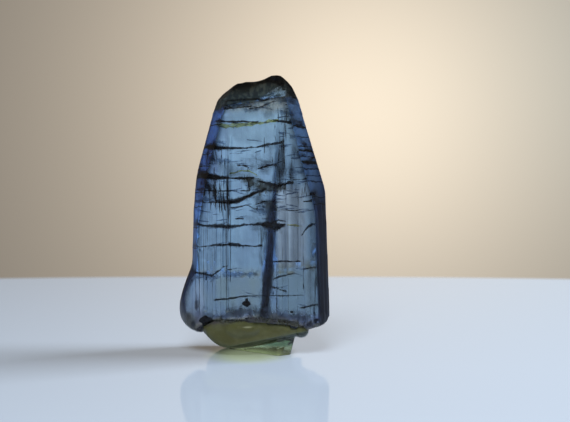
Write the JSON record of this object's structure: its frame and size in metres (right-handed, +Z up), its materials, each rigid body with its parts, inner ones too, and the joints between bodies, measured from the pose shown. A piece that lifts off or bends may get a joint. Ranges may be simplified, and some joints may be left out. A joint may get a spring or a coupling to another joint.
{
  "type": "tanzanite crystal",
  "caption": "Raw, lengthwise striated tanzanite crystal, see-through blue with dark cross cracks, standing upright on a small olive-green lump.",
  "frame": {"origin": "middle of the object's box on the surface that it stands on", "axes": "+Z up along the crystal's length, +X to the right seen from the front, the front with the clear pane faces -Y"},
  "size_m": [0.0186, 0.009, 0.034],
  "materials": {
    "tanzanite": "glossy, see-through blue, striated",
    "olive_lump": "waxy, slightly see-through olive green"
  },
  "bodies": {
    "root": {"crystal": "tanzanite", "base": "olive_lump"}
  },
  "joints": []
}
